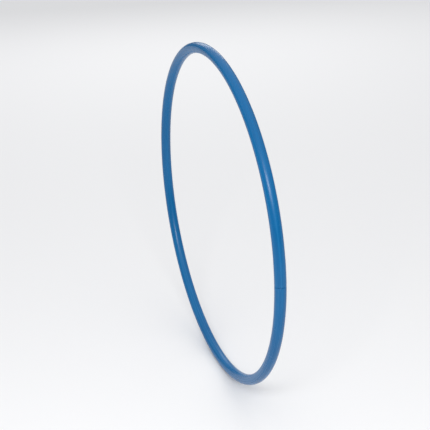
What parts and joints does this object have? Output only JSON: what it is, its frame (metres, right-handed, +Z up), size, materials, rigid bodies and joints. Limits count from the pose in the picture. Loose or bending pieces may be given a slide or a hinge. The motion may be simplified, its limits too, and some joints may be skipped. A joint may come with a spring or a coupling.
{
  "type": "rhythmic gymnastics hoop",
  "caption": "Plain round hoop of extruded plastic tube, closed on itself by an inner barbed plug and staples, for gymnastics and floor exercise.",
  "frame": {"origin": "centre of the ring, midway between the tube's two sides", "axes": "+Y along the ring's axis, +Z up to the point it hangs from, +X towards the seam"},
  "size_m": [0.61, 0.019, 0.61],
  "materials": {
    "tube_plastic": "semi-gloss extruded polyethylene, blue",
    "plug_plastic": "natural moulded polyethylene",
    "staple_wire": "zinc-plated flat wire"
  },
  "bodies": {
    "root": {"hoop_tube": "tube_plastic", "joint_plug": "plug_plastic", "staple_1": "staple_wire", "staple_2": "staple_wire", "staple_3": "staple_wire", "staple_4": "staple_wire"}
  },
  "joints": []
}
